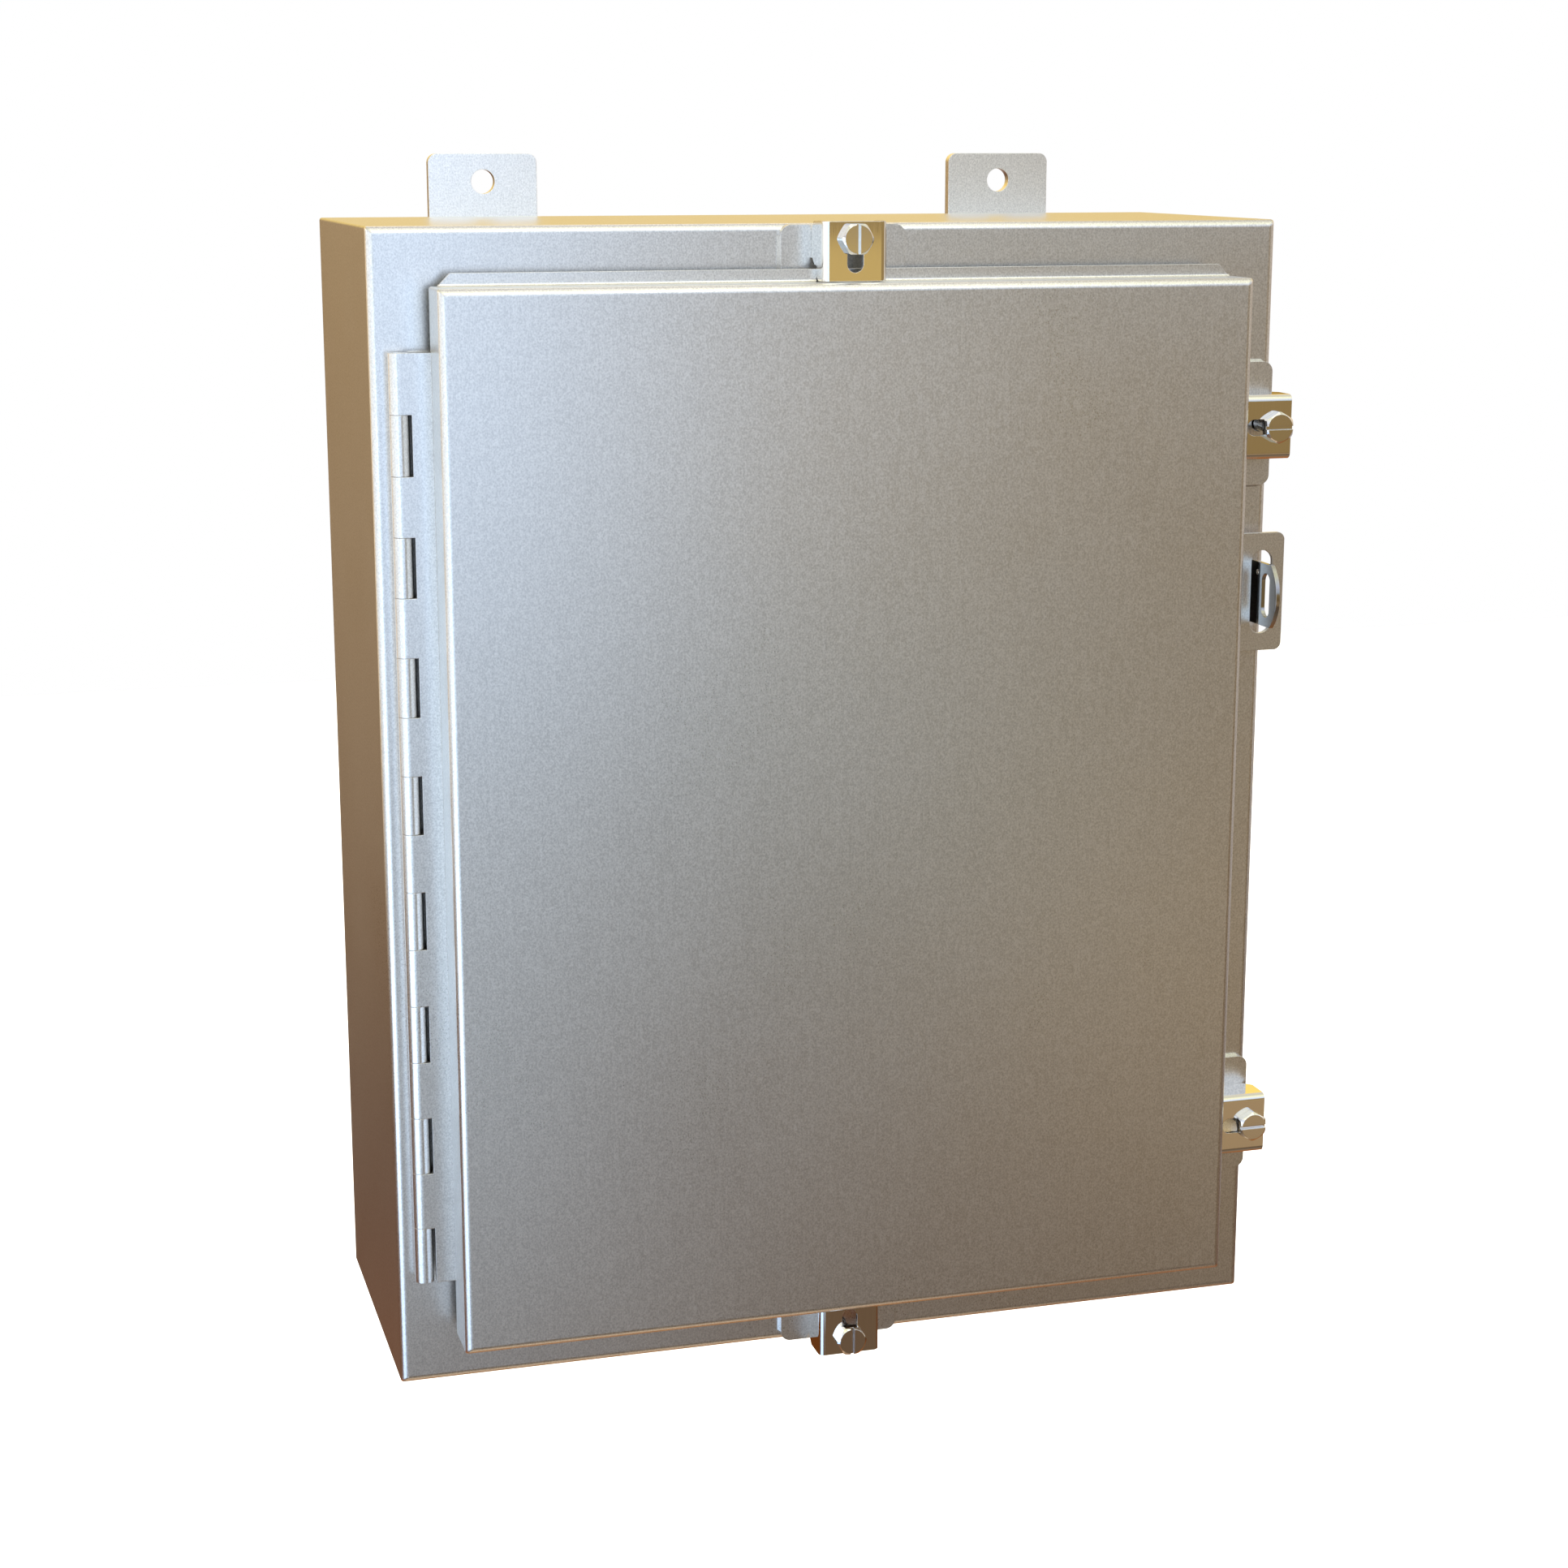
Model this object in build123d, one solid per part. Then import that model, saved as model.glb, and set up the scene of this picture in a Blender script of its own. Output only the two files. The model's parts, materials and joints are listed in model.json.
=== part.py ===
from build123d import *
import math
import os

os.makedirs("parts", exist_ok=True)

# Wall-mounted stainless control panel cabinet, millimetres.
# X runs right, Y runs back to the wall, Z runs up.
# Y = 0 is the wall plane and the origin is the centre of the four wall bolts.

# cabinet
WIDTH = 406.4
HEIGHT = 508.0
DEPTH = 152.4
SHEET = 1.9
BEND_R = 3.2
CORNER_R = 1.2
FOOT_T = 4.76
HW = WIDTH / 2
HH = HEIGHT / 2
Y_BACK = -FOOT_T
Y_FACE = Y_BACK - DEPTH
Y_IN_BACK = Y_BACK - SHEET
Y_IN_FACE = Y_FACE + SHEET
OPEN_X = 165.1
OPEN_Z = 215.9
OPEN_R = 9.0
COLLAR_H = 22.0
COLLAR_LIP = 4.0

# wall feet
FOOT_X = 127.0
FOOT_BOLT_Z = 269.875
FOOT_W = 50.8
FOOT_TOP_Z = HH + 28.6
FOOT_HOLE_R = 5.56
FOOT_R = 4.2

# door pan
MARGIN = 24.13
DX = HW - MARGIN
DZ = HH - MARGIN
DOOR_D = 31.75
Y_DOOR = Y_FACE - DOOR_D
LIP_BACK = Y_FACE - 9.5
LIP_FRONT = LIP_BACK - SHEET
LIP_OUT = 5.4
LIP_END = 3.1
HINGE_EDGE = Y_FACE - 8.0

# continuous hinge
PIN_R = 2.2
BARREL_R = 4.2
LEAF_T = 2.0
PIN_X = -HW + 10.8
PIN_Y = Y_FACE - 5.8
KNUCKLE = 25.4
KNUCKLES = 16
HINGE_Z = KNUCKLE * KNUCKLES / 2
KNUCKLE_GAP = 0.1
PIN_GAP = 0.05
NOTCH = 4.65

# clamps and pads
PAD_L = 57.6
PAD_TOP_L = 55.6
PAD_T = 3.0
PAD_IN = 31.0
PAD_EDGE = 0.5
PAD_R = 4.6
CLAMP_W = 28.6
CLAMP_T = 1.9
CLAMP_FRONT = 20.5
CLAMP_OUT = 1.1
CLAMP_IN = 23.8
CLAMP_BEND = 2.8
SCREW_IN = 6.2
SCREW_R = 3.175
HEAD_AF = 12.7
HEAD_H = 4.6
SLOT_W = 7.14
SLOT_IN = 16.6
RIGHT_CLAMP_Z = 163.7

# padlock hasp
HASP_Z = 87.9
HASP_H = 54.0
HASP_X1 = HW + 5.4
HASP_X0 = DX - 0.4
SLOT_X = 197.9
SLOT_Z = 38.1
SLOT_X_W = 10.2
STAPLE_X = 195.0
STAPLE_H = 28.4

# inside
STUD_X = 146.0
STUD_Z = 197.0
STUD_H = 12.0
PANEL_W = 324.0
PANEL_H = 425.0
PANEL_T = 2.5
PANEL_BACK = Y_IN_BACK - STUD_H
PANEL_FRONT = PANEL_BACK - PANEL_T
BOARD_W = 250.0
BOARD_H = 168.0
BOARD_Z = 104.0
STANDOFF_H = 15.0
BOARD_BACK = PANEL_FRONT - STANDOFF_H
BOARD_FRONT = BOARD_BACK - 1.6
POWER_X = -82.0
POWER_Z = -66.0
POWER_W = 120.0
POWER_H = 92.0
KEYPAD_X = 0.0
KEYPAD_Z = 128.0
KEYPAD_W = 176.0
KEYPAD_H = 92.0
KEYPAD_D = 20.0
KEYPAD_FRONT = BOARD_FRONT - KEYPAD_D
BUTTON_X = (-57.0, -19.0, 19.0, 57.0)
BUTTON_Z = KEYPAD_Z - 28.0
BUTTON_W = 24.0
BUTTON_H = 12.0
BUTTON_GAP = 0.08
BATTERY_W = 151.0
BATTERY_D = 65.0
BATTERY_H = 94.0
BATTERY_X = 78.5
BATTERY_Y = -66.0
FLOOR_Z = -HH + SHEET


def block(x0, x1, y0, y1, z0, z1):
    centre = ((x0 + x1) / 2, (y0 + y1) / 2, (z0 + z1) / 2)
    return Pos(*centre) * Box(abs(x1 - x0), abs(y1 - y0), abs(z1 - z0))


def rod_y(x, z, y0, y1, radius):
    return Pos(x, (y0 + y1) / 2, z) * Rot(90, 0, 0) * Cylinder(radius, abs(y1 - y0))


def plate(width, height, radius, y_back, thick, x=0.0, z=0.0):
    # flat sheet in the XZ plane with rounded corners, growing towards the front
    face = Plane(origin=(x, y_back, z), x_dir=(1, 0, 0), z_dir=(0, -1, 0))
    return extrude(face * RectangleRounded(width, height, radius), thick)


def ring(half_x, half_z, radius, wall, y_back, thick):
    outer = plate(2 * half_x, 2 * half_z, radius, y_back, thick)
    inner_r = max(radius - wall, 0.6)
    inner = plate(2 * (half_x - wall), 2 * (half_z - wall), inner_r, y_back + 1, thick + 2)
    return outer - inner


def hex_y(x, z, y_back, thick, across, turn=0.0):
    face = Plane(origin=(x, y_back, z), x_dir=(1, 0, 0), z_dir=(0, -1, 0))
    outline = Rot(0, 0, turn) * RegularPolygon(across / 2, 6, major_radius=False)
    return extrude(face * outline, thick)


def spread(shape, spots):
    return [Pos(x, y, z) * shape for x, y, z in spots]


def save(name, shape):
    parts = shape if isinstance(shape, list) else [shape]
    solids = []
    for item in parts:
        solids.extend(item.solids())
    out = solids[0] if len(solids) == 1 else Compound(children=solids)
    out.label = name
    export_step(out, f"parts/{name}.step")


# ---- where the clamps sit: (name, x, z, turn about Y) with turn 0 pointing up
CLAMPS = [
    ("top", 0.0, HH, 0.0),
    ("bottom", 0.0, -HH, 180.0),
    ("right_upper", HW, RIGHT_CLAMP_Z, 90.0),
    ("right_lower", HW, -RIGHT_CLAMP_Z, 90.0),
]


def at_clamp(shape, spot):
    # local frame: X across the clamp, Z outward with 0 on the cabinet edge, Y = 0 on the face
    return Pos(spot[1], Y_FACE, spot[2]) * Rot(0, spot[3], 0) * shape


def cabinet_outer():
    shell = block(-HW, HW, Y_FACE, Y_BACK, -HH, HH)
    shell = fillet(shell.edges().filter_by(Axis.Y), CORNER_R)
    front = shell.faces().sort_by(Axis.Y)[0]
    shell = fillet(front.edges(), BEND_R)
    back = shell.faces().sort_by(Axis.Y)[-1]
    return fillet(back.edges(), 1.2)


def cabinet_shell():
    body = cabinet_outer()
    body -= block(-HW + SHEET, HW - SHEET, Y_IN_FACE, Y_IN_BACK, -HH + SHEET, HH - SHEET)
    opening = plate(2 * OPEN_X, 2 * OPEN_Z, OPEN_R, Y_IN_FACE + 1, SHEET + 4)
    body -= opening
    collar = ring(OPEN_X + SHEET, OPEN_Z + SHEET, OPEN_R + SHEET, SHEET, Y_FACE + SHEET, COLLAR_H + SHEET)
    body += collar
    lip_x = OPEN_X + SHEET + COLLAR_LIP
    lip_z = OPEN_Z + SHEET + COLLAR_LIP
    lip_y = Y_FACE - COLLAR_H + SHEET
    body += ring(lip_x, lip_z, OPEN_R + SHEET + COLLAR_LIP, COLLAR_LIP + SHEET, lip_y, SHEET)
    for spot in CLAMPS:
        hole = rod_y(0, -SCREW_IN, -4, 4, 3.6)
        body -= at_clamp(hole, spot)
    return body


def foot(x, top):
    height = 52.0
    z = FOOT_TOP_Z - height / 2
    shape = plate(FOOT_W, height, FOOT_R, 0.0, FOOT_T, x, z)
    shape -= rod_y(x, FOOT_BOLT_Z, 1, -FOOT_T - 1, FOOT_HOLE_R)
    return shape if top else mirror(shape, Plane.XY)


def mounting_feet():
    return [foot(x, top) for x in (-FOOT_X, FOOT_X) for top in (True, False)]


def clamp_pad():
    # pressed riser: ramped at both ends, rounded outer corners, wrapped over the edge bend
    half = PAD_L / 2
    top = PAD_TOP_L / 2
    side = Polyline((-half, 0), (-half, 1.2), (half, 1.2), (half, 0), (top, -PAD_T), (-top, -PAD_T), close=True)
    outline = Plane.XY * make_face(side)
    pad = extrude(outline, PAD_IN)
    pad = Pos(0, 0, -PAD_IN - PAD_EDGE) * pad
    corner = block(top - PAD_R, half + 1, -5, 5, -PAD_EDGE - PAD_R, 1)
    corner -= rod_y(top - PAD_R, -PAD_EDGE - PAD_R, -6, 6, PAD_R)
    pad -= corner
    pad -= mirror(corner, Plane.YZ)
    pad -= rod_y(0, -SCREW_IN, -6, 6, 3.6)
    return pad


def clamp_pads():
    outer = cabinet_outer()
    pads = []
    for spot in CLAMPS:
        pads.append(at_clamp(clamp_pad(), spot) - outer)
    return pads


def clamp_inserts():
    insert = rod_y(0, -SCREW_IN, SHEET, SHEET + 7.0, 4.2)
    insert -= rod_y(0, -SCREW_IN, -4, 15, SCREW_R + PIN_GAP)
    return [at_clamp(insert, spot) for spot in CLAMPS]


def clamp_bracket():
    # bent channel: web in front, two side walls back to the pad, stepped to bear on the door lip
    half = CLAMP_W / 2
    web = block(-half, half, -CLAMP_FRONT, -CLAMP_FRONT + 17.45, -CLAMP_IN, CLAMP_OUT)
    long_edges = web.edges().filter_by(Axis.Z).sort_by(Axis.Y)[0:2]
    web = fillet(long_edges, CLAMP_BEND)
    inner = half - CLAMP_T
    hollow = block(-inner, inner, -CLAMP_FRONT + CLAMP_T, 0, -CLAMP_IN - 1, CLAMP_OUT + 1)
    hollow_edges = hollow.edges().filter_by(Axis.Z).sort_by(Axis.Y)[0:2]
    web -= fillet(hollow_edges, CLAMP_BEND - CLAMP_T)
    lip_y = -11.4 - 0.1
    relief = Polyline((-14.0, -30), (-14.0, -23.9), (lip_y, -22.3), (lip_y, -17.6), (-8.0, -17.2),
                      (-4.6, -14.4), (1, -14.4), (1, -30), close=True)
    cut = extrude(Plane.YZ.offset(-30) * make_face(relief), 60)
    web -= cut
    outer_cut = Polyline((-7.0, CLAMP_OUT + 1), (-7.0, CLAMP_OUT), (-2, CLAMP_OUT - 5.0), (1, CLAMP_OUT + 1), close=True)
    web -= extrude(Plane.YZ.offset(-30) * make_face(outer_cut), 60)
    slot_len = SLOT_IN - SCREW_IN + 0.3 + SLOT_W
    slot_mid = -(SLOT_IN + SCREW_IN - 0.3) / 2
    face = Plane(origin=(0, -CLAMP_FRONT + 4, slot_mid), x_dir=(0, 0, 1), z_dir=(0, -1, 0))
    web -= extrude(face * SlotOverall(slot_len, SLOT_W), 8)
    return web


def clamp_screw():
    # captive hex screw with a driver slot and a retaining washer behind the web
    base = -CLAMP_FRONT - 0.1
    head = hex_y(0, -SCREW_IN, base, HEAD_H, HEAD_AF)
    crown = Pos(0, base - HEAD_H / 2, -SCREW_IN) * Rot(90, 0, 0) * Cylinder(HEAD_AF / 2 + 0.7, HEAD_H)
    crown_edge = crown.edges().sort_by(Axis.Y)[0]
    head &= chamfer(crown_edge, 1.1)
    head -= block(-0.8, 0.8, base - HEAD_H + 1.6, base - HEAD_H - 1, -20, 8)
    shank_end = SHEET + 8.6
    shank = rod_y(0, -SCREW_IN, base - 0.5, shank_end, SCREW_R)
    tip = shank.edges().sort_by(Axis.Y)[-1]
    shank = chamfer(tip, 0.6)
    washer_y = -CLAMP_FRONT + CLAMP_T + 0.4
    washer = rod_y(0, -SCREW_IN, washer_y, washer_y + 1.0, 5.3)
    screw = head + shank + washer
    for i in range(6):
        y = washer_y + 3.2 + i * 1.27
        groove = rod_y(0, -SCREW_IN, y, y + 0.5, SCREW_R + 1)
        groove -= rod_y(0, -SCREW_IN, y - 1, y + 2, SCREW_R - 0.35)
        screw -= groove
    return screw


def knuckle_zone(index):
    top = HINGE_Z - index * KNUCKLE
    return top - KNUCKLE + KNUCKLE_GAP / 2, top - KNUCKLE_GAP / 2


def barrel(z0, z1):
    tube = Pos(PIN_X, PIN_Y, (z0 + z1) / 2) * Cylinder(BARREL_R, z1 - z0)
    bore = Pos(PIN_X, PIN_Y, (z0 + z1) / 2) * Cylinder(PIN_R + PIN_GAP, z1 - z0 + 2)
    return tube, bore


def hinge_leaf(first, x1, y0, y1):
    leaf = block(PIN_X, x1, y0, y1, -HINGE_Z + KNUCKLE_GAP / 2, HINGE_Z - KNUCKLE_GAP / 2)
    bores = []
    for i in range(KNUCKLES):
        top = HINGE_Z - i * KNUCKLE
        if i % 2 == first:
            tube, bore = barrel(*knuckle_zone(i))
            leaf += tube
            bores.append(bore)
        else:
            lo = top - KNUCKLE - KNUCKLE_GAP / 2
            hi = top + KNUCKLE_GAP / 2
            leaf -= block(PIN_X - 9, PIN_X + NOTCH, Y_FACE + 1, Y_FACE - 12, lo, hi)
    for bore in bores:
        leaf -= bore
    return leaf


def hinge_leaf_door():
    front = PIN_Y - BARREL_R
    return hinge_leaf(0, -DX, front, front + LEAF_T)


def hinge_leaf_cabinet():
    return hinge_leaf(1, -HW + 36.0, Y_FACE - LEAF_T, Y_FACE)


def hinge_pin():
    pin = Pos(PIN_X, PIN_Y, 0) * Cylinder(PIN_R, 2 * HINGE_Z)
    return chamfer(pin.edges().filter_by(GeomType.CIRCLE), 0.4)


def door_pan():
    pan = block(-DX, DX, Y_DOOR, HINGE_EDGE, -DZ, DZ)
    pan = fillet(pan.edges().filter_by(Axis.Y), CORNER_R)
    front = pan.faces().sort_by(Axis.Y)[0]
    pan = fillet(front.edges(), BEND_R)
    inside = block(-DX + SHEET, DX - SHEET, Y_DOOR + SHEET, Y_FACE, -DZ + SHEET, DZ - SHEET)
    inner_front = inside.faces().sort_by(Axis.Y)[0]
    pan -= fillet(inner_front.edges(), BEND_R - SHEET)
    # three clamp sides stop at the rolled lip, the hinge side runs on to the leaf
    pan -= block(-DX + SHEET, DX + 1, LIP_BACK, Y_FACE, -DZ - 1, DZ + 1)
    base = DX - LIP_END
    tip = base - LIP_OUT + 0.2
    lip = Polyline((-base, 0), (base, 0), (tip, LIP_OUT), (-tip, LIP_OUT), close=True)
    flat = Plane(origin=(0, LIP_BACK, 0), x_dir=(1, 0, 0), z_dir=(0, -1, 0))
    top_lip = extrude(flat * (Pos(0, DZ) * make_face(lip)), SHEET)
    root = block(-base, base, LIP_BACK, LIP_FRONT, DZ - SHEET / 2, DZ + 0.2)
    roll = block(-base, base, LIP_FRONT, LIP_FRONT - 1.1, DZ - 0.5, DZ + 1.1)
    roll -= Pos(0, LIP_FRONT - 1.1, DZ + 1.1) * Rot(0, 90, 0) * Cylinder(1.1, 3 * DX)
    top_lip = top_lip + root + roll
    pan += top_lip
    pan += mirror(top_lip, Plane.XY)
    rise = DZ - LIP_END
    crown = rise - LIP_OUT + 0.2
    side = Polyline((0, -rise), (0, rise), (LIP_OUT, crown), (LIP_OUT, -crown), close=True)
    right_lip = extrude(flat * (Pos(DX, 0) * make_face(side)), SHEET)
    right_lip += block(DX - SHEET / 2, DX + 0.2, LIP_BACK, LIP_FRONT, -rise, rise)
    right_roll = block(DX - 0.5, DX + 1.1, LIP_FRONT, LIP_FRONT - 1.1, -rise, rise)
    right_roll -= Pos(DX + 1.1, LIP_FRONT - 1.1, 0) * Cylinder(1.1, 3 * DZ)
    pan += right_lip
    pan += right_roll
    return pan


def door_gasket():
    back = Y_FACE - COLLAR_H - 0.1
    thick = back - (Y_DOOR + SHEET)
    return ring(175.0, 225.8, 12.0, 14.0, back, thick)


def hasp_plate():
    mid = (HASP_X0 + HASP_X1) / 2
    shape = plate(HASP_X1 - HASP_X0, HASP_H, 3.4, LIP_BACK + SHEET, SHEET, mid, HASP_Z)
    face = Plane(origin=(SLOT_X, LIP_BACK + 4, HASP_Z), x_dir=(0, 0, 1), z_dir=(0, -1, 0))
    return shape - extrude(face * SlotOverall(SLOT_Z, SLOT_X_W), 8)


def lock_staple():
    # D-shaped tongue standing forward from the cabinet face, with padlock eye and seal hole
    half = STAPLE_H / 2
    y_root = Y_FACE
    y_side = Y_FACE - 24.9
    y_nose = Y_FACE - 31.3
    edge = Polyline((y_side, half), (y_root, half), (y_root, -half), (y_side, -half))
    nose = ThreePointArc((y_side, -half), (y_nose, 0), (y_side, half))
    outline = make_face(Curve() + [edge, nose])
    x0 = STAPLE_X
    plane = Plane(origin=(x0, 0, HASP_Z), x_dir=(0, 1, 0), z_dir=(1, 0, 0))
    staple = extrude(plane * outline, SHEET)
    eye = extrude(Plane(origin=(x0 - 1, Y_FACE - 20.2, HASP_Z), x_dir=(0, 0, 1), z_dir=(1, 0, 0))
                  * SlotOverall(20.0, 8.6), SHEET + 2)
    seal = Pos(x0, Y_FACE - 11.4, HASP_Z + 9.6) * Rot(0, 90, 0) * Cylinder(1.3, 10)
    return staple - eye - seal


def stud_spots():
    return [(x, 0, z) for x in (-STUD_X, STUD_X) for z in (-STUD_Z, STUD_Z)]


def panel_studs():
    stud = rod_y(0, 0, Y_IN_BACK, PANEL_BACK, 7.0)
    stud += rod_y(0, 0, PANEL_BACK + 1, PANEL_FRONT - 10.0, 3.0)
    end = stud.edges().filter_by(GeomType.CIRCLE).sort_by(Axis.Y)[0]
    stud = chamfer(end, 0.6)
    return spread(stud, stud_spots())


def back_panel():
    panel = plate(PANEL_W, PANEL_H, 6.0, PANEL_BACK, PANEL_T)
    for x, y, z in stud_spots():
        panel -= rod_y(x, z, PANEL_BACK + 1, PANEL_FRONT - 1, 3.6)
    return panel


def panel_washers():
    washer = rod_y(0, 0, PANEL_FRONT, PANEL_FRONT - 1.2, 6.5) - rod_y(0, 0, 0, -60, 3.2)
    return spread(washer, stud_spots())


def panel_nuts():
    nut = hex_y(0, 0, PANEL_FRONT - 1.2, 5.0, 10.0) - rod_y(0, 0, 0, -60, 3.05)
    return spread(nut, stud_spots())


def ground_stud():
    base = Pos(HW - SHEET - 2.0, -70.0, -215.0) * Rot(0, 90, 0) * Cylinder(6.0, 4.0)
    shank = Pos(HW - SHEET - 12.0, -70.0, -215.0) * Rot(0, 90, 0) * Cylinder(3.0, 24.0)
    return base + shank


def ground_nut():
    nut = extrude(RegularPolygon(5.0, 6, major_radius=False), 5.0) - Cylinder(3.05, 20)
    return Pos(HW - SHEET - 9.2, -70.0, -215.0) * Rot(0, 90, 0) * nut


def standoff_spots():
    spots = []
    for x in (-BOARD_W / 2 + 7, 0.0, BOARD_W / 2 - 7):
        for z in (BOARD_Z - BOARD_H / 2 + 7, BOARD_Z + BOARD_H / 2 - 7):
            spots.append((x, 0, z))
    for x in (POWER_X - POWER_W / 2 + 6, POWER_X + POWER_W / 2 - 6):
        for z in (POWER_Z - POWER_H / 2 + 6, POWER_Z + POWER_H / 2 - 6):
            spots.append((x, 0, z))
    return spots


def board_standoffs():
    return spread(hex_y(0, 0, PANEL_FRONT, STANDOFF_H, 7.0), standoff_spots())


def board_screws():
    head = rod_y(0, 0, BOARD_FRONT, BOARD_FRONT - 2.0, 3.0)
    rim = head.edges().filter_by(GeomType.CIRCLE).sort_by(Axis.Y)[0]
    head = fillet(rim, 0.8)
    head -= block(-0.5, 0.5, BOARD_FRONT - 1.1, BOARD_FRONT - 3, -2, 2)
    head -= block(-2, 2, BOARD_FRONT - 1.1, BOARD_FRONT - 3, -0.5, 0.5)
    return spread(head, standoff_spots())


def main_board():
    return plate(BOARD_W, BOARD_H, 3.0, BOARD_BACK, 1.6, 0, BOARD_Z)


def power_board():
    return plate(POWER_W, POWER_H, 3.0, BOARD_BACK, 1.6, POWER_X, POWER_Z)


def terminal_block(ways):
    pitch = 7.62
    length = ways * pitch
    body = block(0, length, 0, -13.0, 0, 11.0)
    body -= block(-1, length + 1, -8.0, -14.0, 7.5, 12.0)
    for i in range(ways):
        x = (i + 0.5) * pitch
        body -= rod_y(x, 3.6, -9.0, -14.0, 2.3)
        body -= block(x - 2.4, x + 2.4, -2.0, -6.5, 8.0, 12.0)
    return body


TERMINALS = [(-118.0, 34.0, 12), (-22.0, 34.0, 8), (44.0, 34.0, 9), (-128.0, -108.0, 11)]


def terminal_blocks():
    parts = []
    for x, z, ways in TERMINALS:
        parts.append(Pos(x, BOARD_FRONT, z) * terminal_block(ways))
    return parts


def terminal_screws():
    screw = rod_y(0, 3.6, -9.0, -11.6, 2.0) - block(-3, 3, -10.9, -12.0, 3.25, 3.95)
    parts = []
    for x, z, ways in TERMINALS:
        for i in range(ways):
            parts.append(Pos(x + (i + 0.5) * 7.62, BOARD_FRONT, z) * screw)
    return parts


def relays():
    relay = block(0, 19.0, 0, -15.6, 0, 15.4)
    relay = fillet(relay.edges().filter_by(Axis.Y), 0.8)
    spots = [(x, BOARD_FRONT, 52.0) for x in (-112.0, -86.0, -60.0, -34.0)]
    spots += [(-130.0, BOARD_FRONT, -46.0), (-104.0, BOARD_FRONT, -46.0)]
    return spread(relay, spots)


def capacitors():
    can = rod_y(0, 0, 0, -24.0, 8.0)
    rim = can.edges().filter_by(GeomType.CIRCLE).sort_by(Axis.Y)[0]
    can = fillet(rim, 1.2)
    spots = [(x, BOARD_FRONT, 62.0) for x in (36.0, 58.0)]
    spots += [(-44.0, BOARD_FRONT, z) for z in (-36.0, -58.0)]
    return spread(can, spots)


def fuse_holders():
    base = block(0, 26.0, 0, -7.0, 0, 9.0) - block(3.0, 23.0, -3.0, -8.0, 1.5, 7.5)
    tube = Pos(13.0, -6.0, 4.5) * Rot(0, 90, 0) * Cylinder(2.6, 25.0)
    cut = Pos(13.0, -6.0, 4.5) * Rot(0, 90, 0) * Cylinder(2.65, 25.2)
    spots = [(82.0, BOARD_FRONT, z) for z in (50.0, 63.0)]
    holders = spread(base - cut, spots)
    return holders, spread(tube, spots)


def heat_sink():
    sink = block(-132.0, -90.0, BOARD_FRONT, BOARD_FRONT - 3.0, -88.0, -60.0)
    for i in range(7):
        x = -132.0 + i * 6.5
        sink += block(x, x + 1.8, BOARD_FRONT - 2.0, BOARD_FRONT - 24.0, -88.0, -60.0)
    return sink


def keypad_housing():
    body = plate(KEYPAD_W, KEYPAD_H, 5.0, BOARD_FRONT, KEYPAD_D, KEYPAD_X, KEYPAD_Z)
    front_rim = body.faces().sort_by(Axis.Y)[0].edges()
    body = fillet(front_rim, 1.6)
    body -= plate(KEYPAD_W - 5, KEYPAD_H - 5, 3.0, BOARD_FRONT + 1, KEYPAD_D - 1.0, KEYPAD_X, KEYPAD_Z)
    body -= block(-62.0, 62.0, KEYPAD_FRONT - 1, KEYPAD_FRONT + 5, KEYPAD_Z - 2.0, KEYPAD_Z + 30.0)
    for x in BUTTON_X:
        hole = plate(BUTTON_W, BUTTON_H, 2.0, KEYPAD_FRONT + 5, 8, x, BUTTON_Z)
        body -= hole
    for x in lens_xs():
        body -= rod_y(x, KEYPAD_Z - 13.0, KEYPAD_FRONT - 1, KEYPAD_FRONT + 5, 2.4)
    return body


def lens_xs():
    return [-60.0 + 20.0 * i for i in range(7)]


def display_window():
    depth = KEYPAD_FRONT + 1.0
    glass = block(-62.0, 62.0, depth, KEYPAD_FRONT + 2.5, KEYPAD_Z - 2.0, KEYPAD_Z + 30.0)
    carrier = block(-62.0, 62.0, KEYPAD_FRONT + 2.5, BOARD_FRONT, KEYPAD_Z - 1.5, KEYPAD_Z + 29.5)
    return glass, carrier


def indicator_lenses():
    lens = rod_y(0, 0, KEYPAD_FRONT - 1.2, KEYPAD_FRONT + 5.0, 2.4)
    tip = lens.edges().filter_by(GeomType.CIRCLE).sort_by(Axis.Y)[0]
    lens = fillet(tip, 1.1)
    lens += rod_y(0, 0, KEYPAD_FRONT + 3.0, KEYPAD_FRONT + 5.0, 3.0)
    return spread(lens, [(x, 0, KEYPAD_Z - 13.0) for x in lens_xs()])


def push_button(x):
    wide = BUTTON_W - 2 * BUTTON_GAP
    tall = BUTTON_H - 2 * BUTTON_GAP
    cap = plate(wide, tall, 2.0 - BUTTON_GAP, KEYPAD_FRONT + 4.0, 7.0, x, BUTTON_Z)
    rim = cap.faces().sort_by(Axis.Y)[0].edges()
    cap = fillet(rim, 0.8)
    cap += plate(wide + 4, tall + 4, 2.5, KEYPAD_FRONT + 4.0, 1.6, x, BUTTON_Z)
    cap += rod_y(x, BUTTON_Z, KEYPAD_FRONT + 4.0, KEYPAD_FRONT + 14.0, 3.0)
    return cap


def button_switches():
    switches = []
    for x in BUTTON_X:
        seat = rod_y(x, BUTTON_Z, BOARD_FRONT, KEYPAD_FRONT + 12.0, 6.0)
        seat -= rod_y(x, BUTTON_Z, BOARD_FRONT - 2.0, KEYPAD_FRONT + 11.0, 3.4)
        switches.append(seat)
    return switches


def sounder():
    can = rod_y(106.0, 172.0, BOARD_FRONT, BOARD_FRONT - 14.0, 11.5)
    rim = can.edges().filter_by(GeomType.CIRCLE).sort_by(Axis.Y)[0]
    can = fillet(rim, 1.2)
    return can - rod_y(106.0, 172.0, BOARD_FRONT - 11.0, BOARD_FRONT - 16.0, 2.0)


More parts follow.
